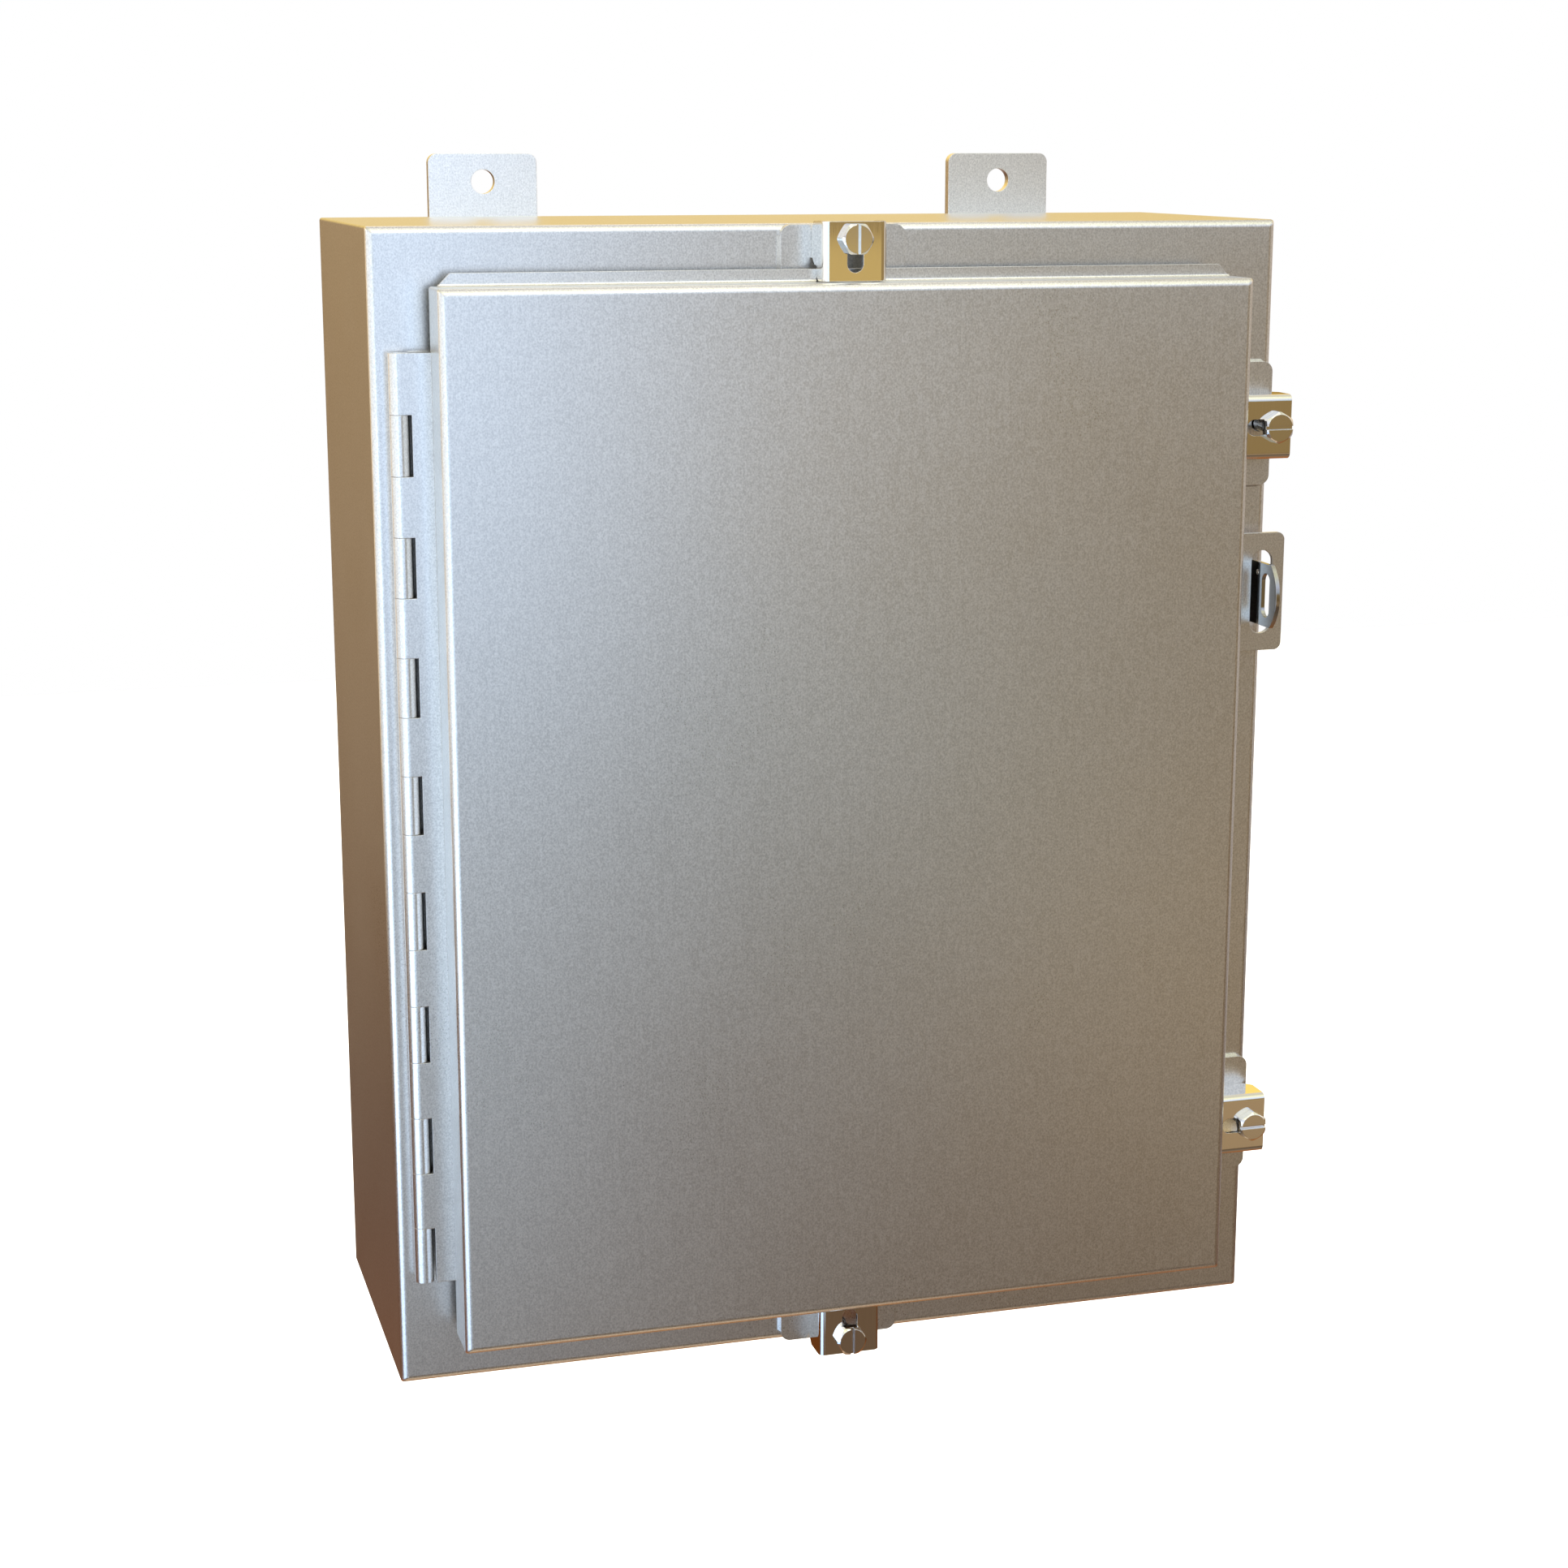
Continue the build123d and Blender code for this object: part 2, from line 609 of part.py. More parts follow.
def transformer_core():
    core = block(52.0, 128.0, PANEL_FRONT - 8.0, PANEL_FRONT - 60.0, -100.0, -36.0)
    core -= block(64.5, 77.5, PANEL_FRONT, PANEL_FRONT - 70.0, -88.0, -48.0)
    core -= block(102.5, 115.5, PANEL_FRONT, PANEL_FRONT - 70.0, -88.0, -48.0)
    return core


def transformer_coil():
    coil = block(65.0, 115.0, PANEL_FRONT - 1.5, PANEL_FRONT - 66.5, -87.5, -48.5)
    coil = fillet(coil.edges().filter_by(Axis.Z), 5.0)
    return coil - block(77.5, 102.5, PANEL_FRONT - 8.0, PANEL_FRONT - 60.0, -90, -40)


def transformer_frame():
    base = block(40.0, 140.0, PANEL_FRONT, PANEL_FRONT - 1.5, -94.0, -42.0)
    base -= block(62.0, 118.0, PANEL_FRONT + 1, PANEL_FRONT - 3, -89.0, -47.0)
    strap = block(49.5, 130.5, PANEL_FRONT, PANEL_FRONT - 62.5, -94.0, -42.0)
    strap -= block(51.9, 128.1, PANEL_FRONT + 1, PANEL_FRONT - 60.1, -95.0, -41.0)
    strap -= block(60.0, 120.0, PANEL_FRONT - 55, PANEL_FRONT - 70, -89.0, -47.0)
    frame = base + strap
    frame -= block(51.9, 128.1, PANEL_FRONT - 8.0, PANEL_FRONT - 60.1, -95.0, -41.0)
    for x in (44.5, 135.5):
        frame -= rod_y(x, -68.0, PANEL_FRONT + 1, PANEL_FRONT - 4, 2.3)
    return frame


def frame_screws():
    screw = rod_y(0, 0, PANEL_FRONT - 1.5, PANEL_FRONT - 4.5, 4.0)
    rim = screw.edges().filter_by(GeomType.CIRCLE).sort_by(Axis.Y)[0]
    screw = fillet(rim, 1.0)
    screw -= block(-0.5, 0.5, PANEL_FRONT - 3.2, PANEL_FRONT - 6, -2.6, 2.6)
    screw -= block(-2.6, 2.6, PANEL_FRONT - 3.2, PANEL_FRONT - 6, -0.5, 0.5)
    return spread(screw, [(44.5, 0, -68.0), (135.5, 0, -68.0)])


def battery(x):
    z0 = FLOOR_Z + 2.0
    case = block(x - BATTERY_W / 2 + 1, x + BATTERY_W / 2 - 1, BATTERY_Y - BATTERY_D / 2,
                 BATTERY_Y + BATTERY_D / 2, z0, z0 + BATTERY_H - 14.0)
    case = fillet(case.edges().filter_by(Axis.Z), 2.0)
    lid = block(x - BATTERY_W / 2, x + BATTERY_W / 2, BATTERY_Y - BATTERY_D / 2 - 0.4,
                BATTERY_Y + BATTERY_D / 2 + 0.4, z0 + BATTERY_H - 14.0, z0 + BATTERY_H)
    lid = fillet(lid.edges().filter_by(Axis.Z), 2.0)
    lid = chamfer(lid.faces().sort_by(Axis.Z)[-1].edges(), 0.8)
    for side in (-1, 1):
        lid -= Pos(x + side * 60, BATTERY_Y + 18, z0 + BATTERY_H) * Box(18, 15, 8)
    return case + lid


def battery_tabs():
    parts = []
    for x in (-BATTERY_X, BATTERY_X):
        for side in (-1, 1):
            z = FLOOR_Z + 2.0 + BATTERY_H - 4.0
            tab = block(-3.2, 3.2, -0.4, 0.4, 0, 8.0)
            parts.append(Pos(x + side * 60, BATTERY_Y + 18, z) * tab)
    return parts


def battery_mat():
    return block(-157.0, 157.0, BATTERY_Y - 36.0, BATTERY_Y + 36.0, FLOOR_Z, FLOOR_Z + 2.0)


def battery_bracket():
    # folded bar round the front of both batteries, hooked back to the panel
    z0 = FLOOR_Z + 66.0
    z1 = FLOOR_Z + 86.0
    front = BATTERY_Y - BATTERY_D / 2 - 0.6
    bar = block(-157.0, 157.0, front, front - 1.5, z0, z1)
    bar += block(-157.0, -155.5, front - 1.5, PANEL_FRONT, z0, z1)
    bar += block(155.5, 157.0, front - 1.5, PANEL_FRONT, z0, z1)
    bar += block(-157.0, -136.0, PANEL_FRONT, PANEL_FRONT - 1.5, z0, z1)
    bar += block(136.0, 157.0, PANEL_FRONT, PANEL_FRONT - 1.5, z0, z1)
    for x in (-146.0, 146.0):
        bar -= rod_y(x, (z0 + z1) / 2, PANEL_FRONT + 1, PANEL_FRONT - 4, 2.3)
    return bar


def bracket_screws():
    screw = rod_y(0, 0, PANEL_FRONT - 1.5, PANEL_FRONT - 4.5, 4.0)
    rim = screw.edges().filter_by(GeomType.CIRCLE).sort_by(Axis.Y)[0]
    screw = fillet(rim, 1.0)
    screw -= block(-0.5, 0.5, PANEL_FRONT - 3.2, PANEL_FRONT - 6, -2.6, 2.6)
    screw -= block(-2.6, 2.6, PANEL_FRONT - 3.2, PANEL_FRONT - 6, -0.5, 0.5)
    z = FLOOR_Z + 76.0
    return spread(screw, [(-146.0, 0, z), (146.0, 0, z)])


def document_pocket():
    back = Y_DOOR + SHEET
    body = block(-110.0, 110.0, back, back + 16.0, -150.0, 20.0)
    body = fillet(body.edges().filter_by(Axis.Y), 6.0)
    body -= block(-107.5, 107.5, back + 2.0, back + 13.5, -147.5, 30.0)
    body -= Pos(0, back + 15.0, 20.0) * Rot(90, 0, 0) * Cylinder(30.0, 8.0)
    return body


def door_stud():
    back = Y_DOOR + SHEET
    stud = rod_y(-140.0, -200.0, back, back + 20.0, 3.0)
    return stud + rod_y(-140.0, -200.0, back, back + 2.0, 6.0)


def door_stud_nut():
    back = Y_DOOR + SHEET
    return hex_y(-140.0, -200.0, back + 8.0, 5.0, 10.0) - rod_y(-140.0, -200.0, -250, -100, 3.05)


def build():
    save("cabinet_shell", cabinet_shell())
    save("mounting_feet", mounting_feet())
    save("clamp_pads", clamp_pads())
    save("clamp_inserts", clamp_inserts())
    save("hinge_leaf_cabinet", hinge_leaf_cabinet())
    save("hinge_pin", hinge_pin())
    save("lock_staple", lock_staple())
    save("panel_studs", panel_studs())
    save("back_panel", back_panel())
    save("panel_washers", panel_washers())
    save("panel_nuts", panel_nuts())
    save("ground_stud", ground_stud())
    save("ground_nut", ground_nut())
    save("board_standoffs", board_standoffs())
    save("board_screws", board_screws())
    save("main_board", main_board())
    save("power_board", power_board())
    save("terminal_blocks", terminal_blocks())
    save("terminal_screws", terminal_screws())
    save("relays", relays())
    save("capacitors", capacitors())
    holders, fuses = fuse_holders()
    save("fuse_holders", holders)
    save("fuses", fuses)
    save("heat_sink", heat_sink())
    save("keypad_housing", keypad_housing())
    glass, carrier = display_window()
    save("display_glass", glass)
    save("display_module", carrier)
    save("indicator_lenses", indicator_lenses())
    save("button_switches", button_switches())
    save("sounder", sounder())
    save("transformer_core", transformer_core())
    save("transformer_coil", transformer_coil())
    save("transformer_frame", transformer_frame())
    save("transformer_screws", frame_screws())
    save("battery_left", battery(-BATTERY_X))
    save("battery_right", battery(BATTERY_X))
    save("battery_tabs", battery_tabs())
    save("battery_mat", battery_mat())
    save("battery_bracket", battery_bracket())
    save("bracket_screws", bracket_screws())
    save("door_pan", door_pan())
    save("hinge_leaf_door", hinge_leaf_door())
    save("door_gasket", door_gasket())
    save("hasp_plate", hasp_plate())
    save("document_pocket", document_pocket())
    save("door_ground_stud", door_stud())
    save("door_ground_nut", door_stud_nut())
    for spot in CLAMPS:
        save("clamp_" + spot[0], at_clamp(clamp_bracket(), spot))
        save("screw_" + spot[0], at_clamp(clamp_screw(), spot))
    for name, x in zip(("acknowledge", "silence", "drill", "reset"), BUTTON_X):
        save("button_" + name, push_button(x))


build()
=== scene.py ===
import json
import math

import bpy
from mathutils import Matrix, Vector

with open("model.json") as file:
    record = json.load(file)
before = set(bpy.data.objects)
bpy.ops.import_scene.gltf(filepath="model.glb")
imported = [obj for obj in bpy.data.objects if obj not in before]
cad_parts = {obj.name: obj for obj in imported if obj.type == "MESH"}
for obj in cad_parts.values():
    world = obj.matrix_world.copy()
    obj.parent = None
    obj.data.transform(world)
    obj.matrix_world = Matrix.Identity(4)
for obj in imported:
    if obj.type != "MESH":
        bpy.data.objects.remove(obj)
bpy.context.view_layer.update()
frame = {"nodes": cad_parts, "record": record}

# Looks for a wall-mounted stainless control panel cabinet. Metres and degrees, X right, Y back
# to the wall, Z up. The origin is the wall plane at the centre of the four wall bolts.

MM = 0.001
NODES = frame["nodes"]
BEVEL_SAMPLES = 4
SHEET_EDGE = 0.35 * MM
MACHINED_EDGE = 0.3 * MM


# ---------------------------------------------------------------- node tree helpers

class Tree:
    """Adds shader nodes to a node tree in one call each."""

    def __init__(self, tree):
        self.tree = tree

    def add(self, kind, inputs=None, **settings):
        node = self.tree.nodes.new("ShaderNode" + kind)
        for key, value in settings.items():
            setattr(node, key, value)
        for key, value in (inputs or {}).items():
            self.put(value, node.inputs[key])
        return node

    def put(self, value, socket):
        if isinstance(value, bpy.types.NodeSocket):
            self.tree.links.new(value, socket)
        else:
            socket.default_value = value

    def place(self, scale=(1, 1, 1)):
        """Coordinates in metres in the object's frame, stretched by scale."""
        here = self.add("TexCoord").outputs["Object"]
        return self.add("Mapping", {"Vector": here, "Scale": scale}).outputs["Vector"]

    def noise(self, scale, stretch=(1, 1, 1), detail=2.0, roughness=0.5):
        """Noise of about scale cells to the metre, 0.3 to 0.7 over most of its area."""
        inputs = {"Vector": self.place(stretch), "Scale": scale, "Detail": detail, "Roughness": roughness}
        return self.add("TexNoise", inputs).outputs["Fac"]

    def ramp(self, value, *stops):
        """Turns a value into a colour. A stop is a position and a colour."""
        node = self.add("ValToRGB", {"Fac": value})
        marks = node.color_ramp.elements
        while len(marks) < len(stops):
            marks.new(0.5)
        for mark, (position, colour) in zip(marks, stops):
            mark.position = position
            mark.color = (*colour, 1.0)
        return node.outputs["Color"]

    def math(self, operation, first, second=0.0):
        node = self.add("Math", operation=operation)
        self.put(first, node.inputs[0])
        self.put(second, node.inputs[1])
        return node.outputs["Value"]

    def between(self, value, low, high, start=0.3, end=0.7):
        """Maps value from start..end onto low..high."""
        inputs = {"Value": value, "From Min": start, "From Max": end, "To Min": low, "To Max": high}
        return self.add("MapRange", inputs).outputs["Result"]

    def mix(self, factor, first, second, blend="MIX"):
        node = self.add("Mix", data_type="RGBA", blend_type=blend)
        self.put(factor, node.inputs["Factor"])
        for socket, value in ((node.inputs["A"], first), (node.inputs["B"], second)):
            self.put(value if isinstance(value, bpy.types.NodeSocket) else (*value, 1.0), socket)
        return node.outputs["Result"]

    def soft_edge(self, radius):
        """A normal that rounds sharp edges to the radius."""
        return self.add("Bevel", {"Radius": radius}, samples=BEVEL_SAMPLES).outputs["Normal"]

    def bump(self, height, strength, distance, normal=None):
        """Relief up to distance deep, on top of another normal where one is given."""
        inputs = {"Height": height, "Strength": strength, "Distance": distance}
        if normal is not None:
            inputs["Normal"] = normal
        return self.add("Bump", inputs).outputs["Normal"]


class Material(Tree):
    """A Principled material: constant sockets go straight on the shader, the rest are linked."""

    def __init__(self, name, **constants):
        self.material = bpy.data.materials.new(name)
        self.material.use_nodes = True
        super().__init__(self.material.node_tree)
        self.shader = self.tree.nodes["Principled BSDF"]
        for key, value in constants.items():
            self.shader.inputs[key.replace("_", " ").title().replace("Ior", "IOR")].default_value = value

    def set(self, **sockets):
        """Puts a value or a node's output on each shader socket and returns the material."""
        for key, value in sockets.items():
            self.put(value, self.shader.inputs[key.replace("_", " ").title()])
        return self.material


def scaled(colour, factor):
    """A colour made lighter or darker, at most white."""
    return tuple(min(1.0, c * factor) for c in colour)


# ---------------------------------------------------------------- metals

GRAIN_SCALE = 1500.0
ALONG_Z = (1.0, 1.0, 0.03)
STREAK_SHARE = 0.15


def brushed_steel(name, colour, roughness):
    """Sheet steel with a fine pickled grain, faint clouding and softened cut edges."""
    m = Material(name, metallic=1.0)
    speckle = m.noise(GRAIN_SCALE, stretch=(1.0, 1.0, 0.8), detail=1.0)
    streaks = m.noise(GRAIN_SCALE, stretch=ALONG_Z, detail=2.0)
    cloud = m.noise(9.0, detail=4.0, roughness=0.6)
    speckle_part = m.math("MULTIPLY", speckle, 1.0 - STREAK_SHARE)
    streak_part = m.math("MULTIPLY", streaks, STREAK_SHARE)
    grain = m.math("ADD", speckle_part, streak_part)
    tone = m.ramp(grain, (0.30, scaled(colour, 0.83)), (0.70, scaled(colour, 1.15)))
    tone = m.mix(m.between(cloud, 0.0, 0.06), tone, scaled(colour, 0.8))
    rough = m.math("ADD", m.between(grain, -0.02, 0.02), roughness)
    rough = m.math("ADD", rough, m.between(cloud, -0.01, 0.01))
    relief = m.bump(grain, 0.06, 0.05 * MM, m.soft_edge(SHEET_EDGE))
    return m.set(base_color=tone, roughness=rough, normal=relief)


def polished_steel(name, colour, roughness):
    """Bright rolled steel: near mirror, with hairline marks and a slight waviness."""
    m = Material(name, metallic=1.0)
    hairline = m.noise(2 * GRAIN_SCALE, stretch=ALONG_Z, detail=1.0)
    wave = m.noise(60.0, detail=1.0)
    tone = m.ramp(hairline, (0.35, scaled(colour, 0.97)), (0.7, colour))
    rough = m.math("ADD", m.between(hairline, -0.015, 0.03), roughness)
    relief = m.bump(wave, 0.05, 0.1 * MM, m.soft_edge(MACHINED_EDGE))
    return m.set(base_color=tone, roughness=rough, normal=relief)


def machined_steel(name, colour, roughness, blotch=(1.0, 1.0, 1.0)):
    """Turned or plated fasteners: fine tool marks, plating that varies a little in tone."""
    m = Material(name, metallic=1.0)
    marks = m.noise(2600.0, stretch=(1.0, 0.15, 1.0), detail=2.0)
    plating = m.noise(140.0, detail=3.0, roughness=0.6)
    stained = tuple(part * tint for part, tint in zip(colour, blotch))
    tone = m.mix(m.between(plating, 0.0, 0.6), colour, stained)
    rough = m.math("ADD", m.between(marks, -0.03, 0.05), roughness)
    relief = m.bump(marks, 0.08, 0.03 * MM, m.soft_edge(MACHINED_EDGE))
    return m.set(base_color=tone, roughness=rough, normal=relief)


def laminated_core(name, colour):
    """Transformer core: a stack of thin sheets under dull varnish."""
    m = Material(name, metallic=0.6)
    stack = {"Vector": m.place(), "Scale": 520.0, "Distortion": 0.6}
    sheets = m.add("TexWave", stack, bands_direction="Y").outputs["Fac"]
    varnish = m.noise(90.0, detail=4.0)
    tone = m.mix(m.between(varnish, 0.0, 0.7), colour, scaled(colour, 0.45))
    tone = m.mix(m.math("MULTIPLY", sheets, 0.5), tone, scaled(colour, 0.3))
    return m.set(base_color=tone, roughness=m.between(varnish, 0.42, 0.62),
                 normal=m.bump(sheets, 0.5, 0.1 * MM))


# ---------------------------------------------------------------- plastics, paint and rubber

BLACK = (0.0, 0.0, 0.0, 1.0)
WHITE = (1.0, 1.0, 1.0, 1.0)
TINNED_PAD = (0.72, 0.70, 0.62)
DUST = (0.22, 0.21, 0.2)
ACRYLIC_IOR = 1.49


def moulded(name, colour, roughness):
    """Moulded plastic with a spark-eroded texture and slightly uneven gloss."""
    m = Material(name)
    pits = m.noise(900.0, detail=3.0, roughness=0.6)
    gloss = m.noise(40.0, detail=3.0)
    tone = m.ramp(pits, (0.3, scaled(colour, 0.88)), (0.7, scaled(colour, 1.08)))
    rough = m.math("ADD", m.between(gloss, -0.05, 0.05), roughness)
    relief = m.bump(pits, 0.3, 0.04 * MM, m.soft_edge(SHEET_EDGE))
    return m.set(base_color=tone, roughness=rough, normal=relief)


def powder_coat(name, colour):
    """Semi-gloss powder coat with its orange-peel surface."""
    m = Material(name, coat_weight=0.3, coat_roughness=0.25)
    peel = m.noise(420.0, detail=1.5)
    dust = m.noise(14.0, detail=5.0, roughness=0.65)
    tone = m.mix(m.between(dust, 0.0, 0.25), colour, scaled(colour, 0.9))
    return m.set(base_color=tone, roughness=m.between(dust, 0.36, 0.46),
                 normal=m.bump(peel, 0.25, 0.12 * MM))


def solder_mask(name, colour):
    """Circuit board: mask over copper tracks, with plated pads between them."""
    m = Material(name, coat_weight=0.6, coat_roughness=0.12)
    here = m.place((1.0, 0.0, 1.0))
    grid = {"Vector": here, "Scale": 62.0, "Mortar Size": 0.03}
    grid.update({"Color1": BLACK, "Color2": BLACK, "Mortar": WHITE})
    tracks = m.add("TexBrick", grid).outputs["Color"]
    bent = {"Vector": here, "Scale": 210.0, "Distortion": 5.0, "Detail": 1.0, "Detail Scale": 0.6}
    bends = m.add("TexWave", bent).outputs["Fac"]
    runs = m.math("GREATER_THAN", bends, 0.72)
    copper = m.math("MAXIMUM", tracks, runs)
    weave = m.noise(900.0, detail=2.0)
    tone = m.mix(copper, colour, scaled(colour, 1.9))
    tone = m.mix(m.between(weave, 0.0, 0.25), tone, scaled(colour, 0.5))
    pads = m.add("TexVoronoi", {"Vector": here, "Scale": 190.0, "Randomness": 0.25})
    ring = m.math("LESS_THAN", pads.outputs["Distance"], 0.16)
    chosen = m.math("GREATER_THAN", m.noise(45.0, detail=0.0), 0.52)
    pad = m.math("MULTIPLY", ring, chosen)
    tone = m.mix(pad, tone, TINNED_PAD)
    relief = m.bump(m.math("ADD", copper, pad), 0.4, 0.05 * MM)
    return m.set(base_color=tone, roughness=m.between(weave, 0.3, 0.42), metallic=pad, normal=relief)


def tinted_glass(name, colour, roughness, transmission):
    """Clear or coloured acrylic and glass with a trace of haze."""
    m = Material(name, transmission_weight=transmission, ior=ACRYLIC_IOR)
    haze = m.noise(60.0, detail=3.0)
    tone = m.ramp(haze, (0.3, scaled(colour, 0.96)), (0.7, colour))
    return m.set(base_color=tone, roughness=m.between(haze, roughness, roughness + 0.04))


def liquid_crystal(name, colour):
    """Display face: backlit yellow-green film with the dot rows faintly showing."""
    m = Material(name, coat_weight=0.8, coat_roughness=0.08)
    upright = {"Vector": m.place(), "Rotation": (math.radians(90), 0, 0)}
    facing = m.add("Mapping", upright).outputs["Vector"]
    dots = {"Vector": facing, "Scale": 170.0, "Mortar Size": 0.09, "Brick Width": 0.7, "Row Height": 1.1}
    dots.update({"Color1": (0.8, 0.8, 0.8, 1.0), "Color2": (0.9, 0.9, 0.9, 1.0), "Mortar": WHITE})
    cells = m.add("TexBrick", dots, offset=0.0).outputs["Color"]
    tone = m.mix(1.0, colour, cells, blend="MULTIPLY")
    return m.set(base_color=tone, roughness=m.between(m.noise(80.0), 0.25, 0.35))


def shrink_sleeve(name, colour, stripe):
    """Capacitor sleeve: glossy film with one pale polarity stripe."""
    m = Material(name, coat_weight=0.5, coat_roughness=0.1)
    ripple = m.noise(220.0, stretch=(1.0, 0.3, 1.0), detail=2.0)
    mark = m.add("TexWave", {"Vector": m.place((1.0, 0.0, 0.0)), "Scale": 22.0}).outputs["Fac"]
    tone = m.mix(m.math("GREATER_THAN", mark, 0.93), colour, stripe)
    return m.set(base_color=tone, roughness=m.between(ripple, 0.22, 0.34),
                 normal=m.bump(ripple, 0.2, 0.1 * MM))


def wound_tape(name, colour):
    """Transformer winding under overlapping turns of polyester tape."""
    m = Material(name, coat_weight=0.4, coat_roughness=0.2)
    turns = {"Vector": m.place(), "Scale": 38.0, "Distortion": 0.8}
    laps = m.add("TexWave", turns, bands_direction="Z", wave_profile="SAW").outputs["Fac"]
    fibre = m.noise(600.0, stretch=(1.0, 1.0, 0.2), detail=2.0)
    tone = m.mix(m.math("MULTIPLY", laps, 0.35), colour, scaled(colour, 0.55))
    return m.set(base_color=tone, roughness=m.between(fibre, 0.3, 0.45),
                 normal=m.bump(laps, 0.5, 0.2 * MM))


def foam(name, colour):
    """Foamed-in-place gasket: closed skin full of small bubbles."""
    m = Material(name)
    bubbles = m.add("TexVoronoi", {"Vector": m.place(), "Scale": 850.0}).outputs["Distance"]
    skin = m.noise(70.0, detail=4.0)
    tone = m.ramp(bubbles, (0.0, scaled(colour, 1.5)), (0.6, scaled(colour, 0.7)))
    return m.set(base_color=tone, roughness=m.between(skin, 0.7, 0.9),
                 normal=m.bump(bubbles, 0.6, 0.15 * MM))


def ribbed_rubber(name, colour):
    """Ribbed matting with dust lying on it."""
    m = Material(name)
    ribs = m.add("TexWave", {"Vector": m.place(), "Scale": 110.0}, bands_direction="X").outputs["Fac"]
    dust = m.noise(180.0, detail=5.0)
    tone = m.mix(m.between(dust, 0.0, 0.4), colour, DUST)
    return m.set(base_color=tone, roughness=m.between(dust, 0.65, 0.85),
                 normal=m.bump(ribs, 0.6, 0.3 * MM))


def anodised(name, colour):
    """Drawn aluminium with its draw lines under a matt anodised skin."""
    m = Material(name, metallic=1.0)
    draw = m.noise(1400.0, stretch=(1.0, 1.0, 0.02), detail=2.0)
    tone = m.ramp(draw, (0.3, scaled(colour, 0.9)), (0.7, scaled(colour, 1.05)))
    return m.set(base_color=tone, roughness=m.between(draw, 0.36, 0.5),
                 normal=m.bump(draw, 0.15, 0.05 * MM))


# ---------------------------------------------------------------- finishes

STEEL = (0.72, 0.71, 0.69)

# One finish for each material slot in the record, and two that single nodes take.
FINISHES = {
    "stainless_sheet": brushed_steel("stainless_sheet", STEEL, 0.30),
    "stainless_feet": brushed_steel("stainless_feet", scaled(STEEL, 1.2), 0.32),
    "stainless_polished": polished_steel("stainless_polished", (0.86, 0.84, 0.80), 0.05),
    "stainless_tongue": polished_steel("stainless_tongue", (0.46, 0.455, 0.45), 0.13),
    "stainless_hardware": machined_steel("stainless_hardware", (0.80, 0.79, 0.77), 0.09),
    "panel_white": powder_coat("panel_white", (0.80, 0.80, 0.77)),
    "zinc": machined_steel("zinc", (0.74, 0.76, 0.76), 0.24, blotch=(0.88, 0.86, 0.74)),
    "board_green": solder_mask("board_green", (0.018, 0.105, 0.045)),
    "terminal_green": moulded("terminal_green", (0.03, 0.27, 0.12), 0.38),
    "relay_black": moulded("relay_black", (0.014, 0.014, 0.016), 0.34),
    "capacitor_sleeve": shrink_sleeve("capacitor_sleeve", (0.012, 0.022, 0.075), (0.62, 0.64, 0.66)),
    "fuse_glass": tinted_glass("fuse_glass", (0.90, 0.95, 0.94), 0.02, 0.92),
    "heat_sink_alu": anodised("heat_sink_alu", (0.50, 0.51, 0.52)),
    "housing_grey": moulded("housing_grey", (0.030, 0.033, 0.037), 0.52),
    "window_clear": tinted_glass("window_clear", (0.88, 0.94, 0.90), 0.02, 0.95),
    "display_green": liquid_crystal("display_green", (0.30, 0.42, 0.09)),
    "lens_red": tinted_glass("lens_red", (0.75, 0.03, 0.02), 0.12, 0.35),
    "button_grey": moulded("button_grey", (0.50, 0.50, 0.48), 0.45),
    "button_red": moulded("button_red", (0.55, 0.022, 0.016), 0.42),
    "core_steel": laminated_core("core_steel", (0.20, 0.19, 0.18)),
    "coil_tape": wound_tape("coil_tape", (0.60, 0.40, 0.045)),
    "battery_case": moulded("battery_case", (0.030, 0.032, 0.035), 0.48),
    "tab_tin": machined_steel("tab_tin", (0.70, 0.66, 0.55), 0.28),
    "mat_rubber": ribbed_rubber("mat_rubber", (0.022, 0.022, 0.022)),
    "gasket_foam": foam("gasket_foam", (0.028, 0.028, 0.031)),
    "pocket_plastic": moulded("pocket_plastic", (0.40, 0.41, 0.42), 0.5),
}

# The feet are given a paler steel colour than the body, the staple a darker one than the other polished
# steel.
OWN_FINISH = {"mounting_feet": "stainless_feet", "lock_staple": "stainless_tongue"}


def dress_nodes():
    """Every CAD node takes the finish of its material slot, apart from those with their own."""
    for part in frame["record"]["subparts"]:
        finish = OWN_FINISH.get(part["node"], part["material_slot"])
        for slot in NODES[part["node"]].material_slots:
            slot.material = FINISHES[finish]


# ---------------------------------------------------------------- studio

# The camera's place, aim and lens come from a perspective fit of the cabinet's corners.
CAMERA_AT = Vector((-0.3642, -1.3332, 0.2856))
CAMERA_AIM = Vector((-0.0346, -0.1889, 0.0174))
LENS_MM = 64.95
SENSOR_MM = 36.0

# The floor is a mounting height below the cabinet, lit by a light of its own just above it.
FLOOR_Z = -1.45
FLOOR_SIDE = 16.0
FLOOR_WASH_HEIGHT = 0.3
FLOOR_WASH_RADIANCE = (1.35, 1.35, 1.35)
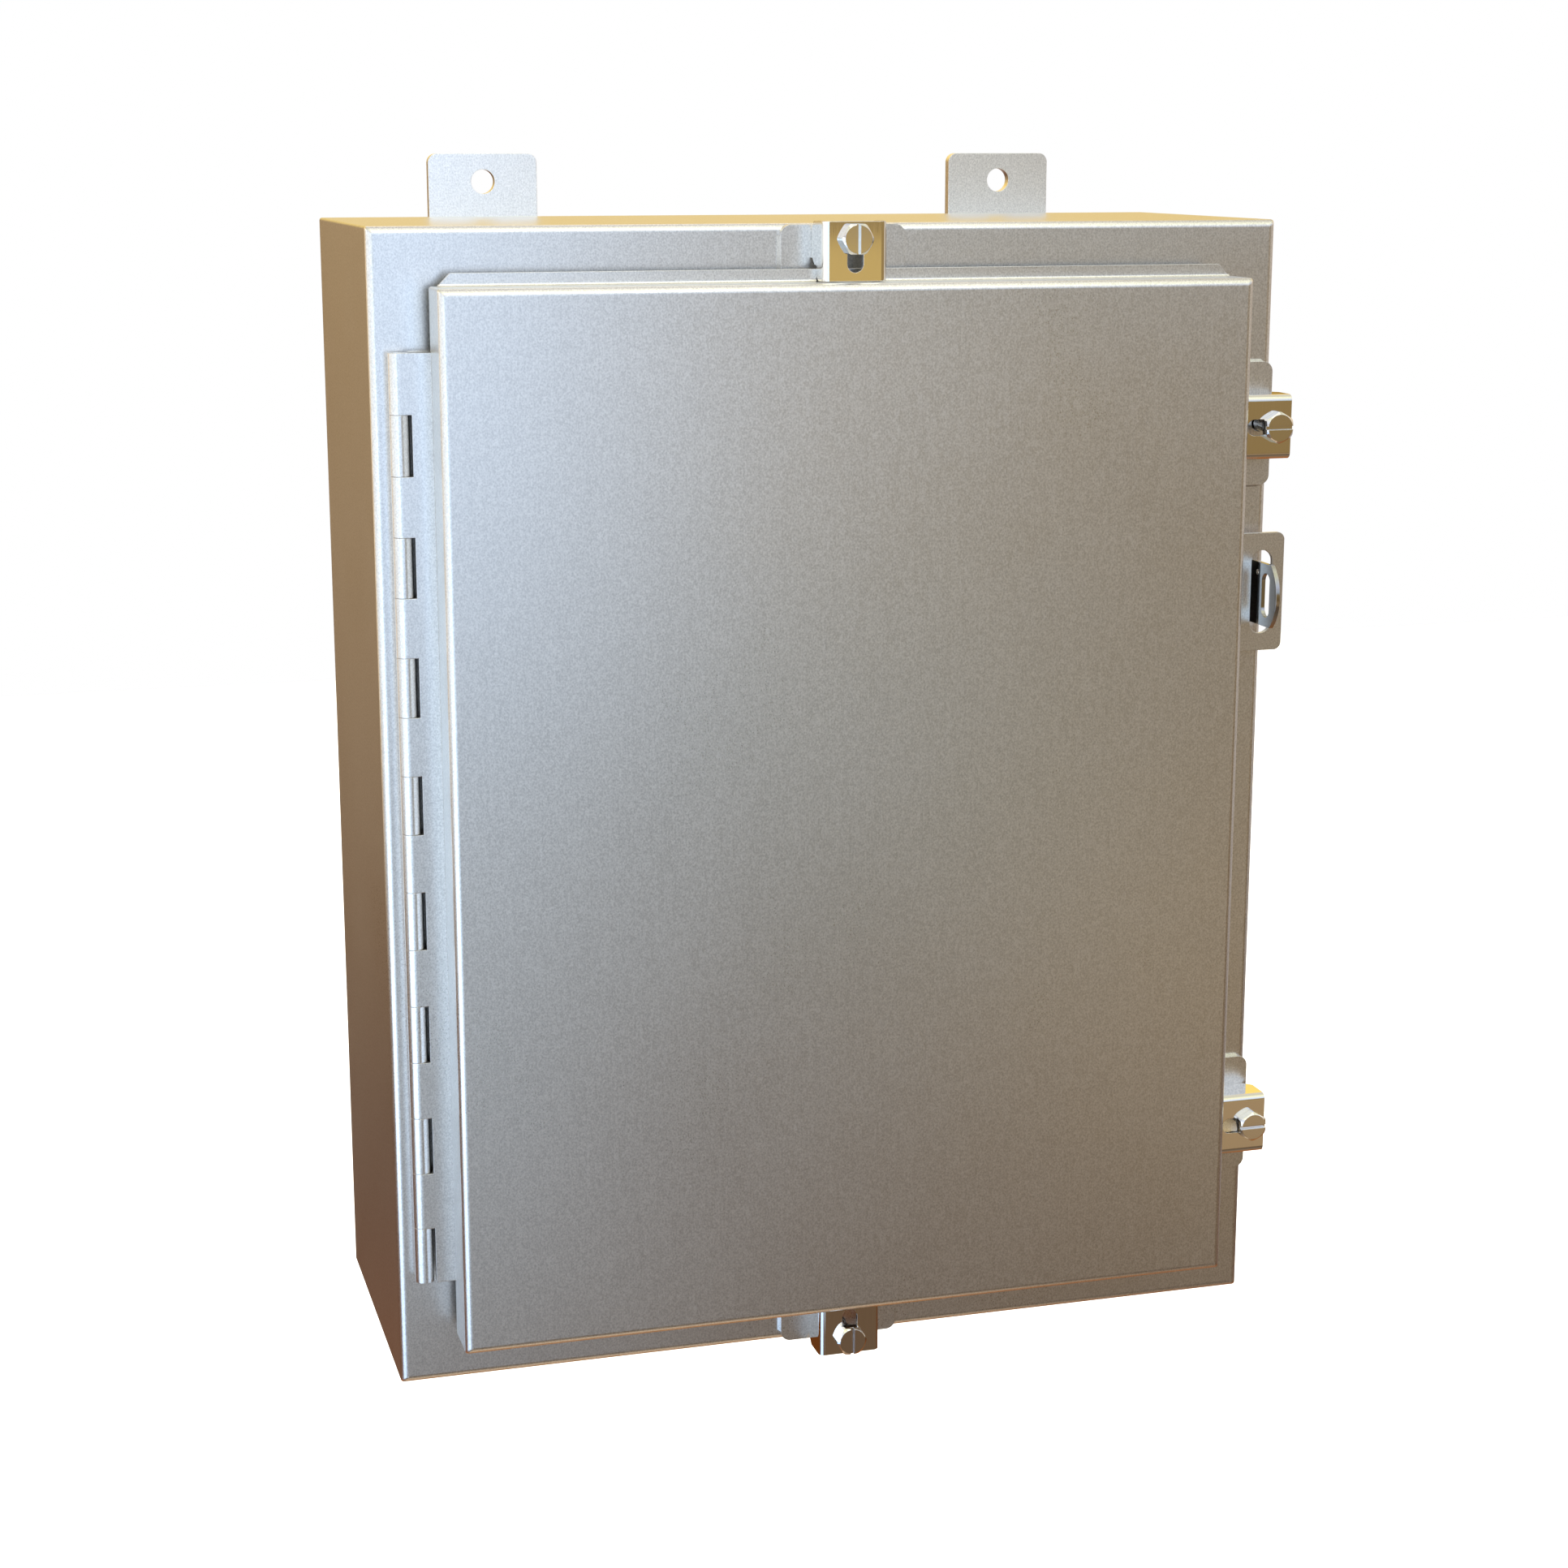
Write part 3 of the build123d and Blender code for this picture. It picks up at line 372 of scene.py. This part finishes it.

# A least-squares fit set the colours of the room and of 15 of the 21 soft lights. Those marked
# "fitted" are still within 0.05 of what it gave. The rest were changed later, or chosen one by one.

# What a mirror would see of the room: elevation in degrees, then colour. The viewer's half of the
# room and the wall's half differ, and run into each other over ROOM_BLEND of a unit way each side.
ROOM_BLEND = 0.5
ROOM_FRONT = (
    (-90, (0.32, 0.27, 0.20)),
    (-45, (0.17, 0.13, 0.09)),
    (-20, (0.15, 0.09, 0.05)),
    (0, (0.36, 0.25, 0.10)),
    (20, (0.90, 0.98, 1.20)),
    (50, (1.20, 1.20, 0.85)),  # fitted
    (90, (0.35, 0.31, 0.24)),  # fitted
)
ROOM_BACK = (
    (-90, (0.28, 0.16, 0.06)),  # fitted
    (-45, (0.46, 0.12, 0.01)),  # fitted
    (-20, (0.09, 0.03, 0.01)),  # fitted
    (0, (0.29, 0.16, 0.04)),  # fitted
    (20, (0.95, 0.64, 0.18)),  # fitted
    (50, (0.82, 0.79, 0.70)),
    (90, (0.47, 0.45, 0.48)),  # fitted
)

# Soft lights: azimuth and elevation in degrees, distance, (width, height), then radiance in red,
# green and blue. Azimuth and elevation are as in direction().
SOFTBOXES = {
    "left_front": (-50, -5, 2.4, (2.2, 1.6), (1.00, 1.18, 1.38)),
    "left": (-96, 8, 2.4, (1.8, 1.8), (1.02, 1.16, 1.28)),
    "left_back": (-135, 8, 2.4, (1.2, 2.0), (0.95, 0.80, 0.58)),
    "left_low": (-50, -24, 2.4, (1.8, 0.9), (0.80, 1.20, 1.80)),
    "front_left_high": (-25, 30, 2.6, (1.5, 1.4), (0.32, 0.24, 0.05)),  # fitted
    "front_left_low": (-22, -8, 2.6, (1.0, 1.2), (0.82, 1.19, 1.60)),  # fitted
    "front": (0, 5, 2.6, (0.8, 1.2), (0.83, 1.22, 1.80)),  # fitted
    "front_high": (5, 42, 2.6, (1.5, 1.2), (1.50, 1.55, 1.25)),
    "front_low": (-3, -17, 2.6, (0.9, 0.9), (0.32, 0.46, 0.60)),
    "front_warm": (14, 0, 2.6, (0.4, 0.35), (0.30, 0.22, 0.07)),
    "front_fill": (17, -11, 2.6, (0.6, 0.45), (0.05, 0.15, 0.19)),
    "front_right": (22, 9, 2.6, (0.7, 0.3), (0.06, 0.24, 0.40)),
    "right_low": (28, -17, 2.6, (0.7, 0.5), (0.24, 0.18, 0.10)),
    "right": (80, 5, 2.4, (1.4, 2.0), (0.34, 0.37, 0.40)),
    "back_right": (125, 0, 2.4, (2.0, 2.2), (0.38, 0.40, 0.42)),
    "back_fill": (168, -8, 2.6, (1.0, 1.4), (0.24, 0.27, 0.28)),
    "top": (10, 76, 2.3, (2.0, 1.6), (0.62, 0.61, 0.62)),
    "top_back": (180, 50, 2.4, (2.0, 1.4), (0.44, 0.45, 0.48)),
    "back_gold": (172, 20, 3.0, (2.6, 1.1), (0.32, 0.26, 0.06)),  # fitted
    "below": (0, -75, 2.4, (1.6, 1.6), (0.44, 0.34, 0.24)),
    "below_back": (180, -50, 2.4, (1.6, 1.2), (0.30, 0.16, 0.02)),  # fitted
}


def direction(azimuth, elevation):
    """Unit vector: azimuth 0 points at the viewer's side (-Y), 90 right (+X), -90 left."""
    a = math.radians(azimuth)
    e = math.radians(elevation)
    return Vector((math.sin(a) * math.cos(e), -math.cos(a) * math.cos(e), math.sin(e)))


def area_light(name, location, facing, size, radiance):
    """A rectangular soft light seen by the object, not by the camera. Radiance is per colour."""
    peak = max(radiance)
    light = bpy.data.lights.new(name, "AREA")
    light.shape = "RECTANGLE"
    light.size, light.size_y = size
    light.energy = peak * math.pi * size[0] * size[1]
    light.color = tuple(part / peak for part in radiance)
    lamp = bpy.data.objects.new(name, light)
    lamp.location = location
    lamp.rotation_euler = facing.to_track_quat("-Z", "Y").to_euler()
    lamp.visible_camera = False
    bpy.context.scene.collection.objects.link(lamp)
    return lamp


def add_lights():
    """The soft lights round the cabinet, each facing it, and the one over the floor."""
    for name, (azimuth, elevation, distance, size, radiance) in SOFTBOXES.items():
        towards = direction(azimuth, elevation)
        area_light(name, towards * distance, -towards, size, radiance)
    above_floor = Vector((0, 0, FLOOR_Z + FLOOR_WASH_HEIGHT))
    down = Vector((0, 0, -1))
    area_light("floor_wash", above_floor, down, (FLOOR_SIDE, FLOOR_SIDE), FLOOR_WASH_RADIANCE)


def room_colour(w, level, stops):
    """The room's colour at a level that runs from 0 straight down to 1 straight up."""
    return w.ramp(level, *(((elevation + 90) / 180, colour) for elevation, colour in stops))


def add_world():
    """The room round the studio, which only the object sees: to the camera it is plain white."""
    world = bpy.data.worlds.new("studio")
    bpy.context.scene.world = world
    world.use_nodes = True
    world.node_tree.nodes.clear()
    w = Tree(world.node_tree)
    way = w.add("SeparateXYZ", {"Vector": w.add("TexCoord").outputs["Generated"]})
    level = w.math("ARCSINE", way.outputs["Z"])
    level = w.between(level, 0.0, 1.0, -math.pi / 2, math.pi / 2)
    behind = w.between(way.outputs["Y"], 0.0, 1.0, -ROOM_BLEND, ROOM_BLEND)
    room = w.mix(behind, room_colour(w, level, ROOM_FRONT), room_colour(w, level, ROOM_BACK))
    seen = w.add("LightPath").outputs["Is Camera Ray"]
    background = w.add("Background", {"Color": w.mix(seen, room, (1.0, 1.0, 1.0))})
    w.add("OutputWorld", {"Surface": background.outputs["Background"]})


def add_floor():
    """A pale painted floor."""
    bpy.ops.mesh.primitive_plane_add(size=FLOOR_SIDE, location=(0, 0, FLOOR_Z))
    floor = bpy.context.object
    floor.name = "studio_floor"
    m = Material("floor_paint", roughness=0.9)
    mottle = m.noise(3.0, detail=3.0)
    paint = m.ramp(mottle, (0.3, (0.80, 0.80, 0.79)), (0.7, (0.83, 0.83, 0.82)))
    floor.data.materials.append(m.set(base_color=paint))
    floor.visible_glossy = False


def add_camera():
    """A long lens from the left, a little above the cabinet."""
    data = bpy.data.cameras.new("camera")
    data.sensor_width = SENSOR_MM
    data.lens = LENS_MM
    camera = bpy.data.objects.new("camera", data)
    camera.location = CAMERA_AT
    camera.rotation_euler = (CAMERA_AIM - CAMERA_AT).to_track_quat("-Z", "Y").to_euler()
    bpy.context.scene.collection.objects.link(camera)
    bpy.context.scene.camera = camera


dress_nodes()
add_world()
add_lights()
add_floor()
add_camera()
bpy.context.scene.view_settings.view_transform = "Standard"
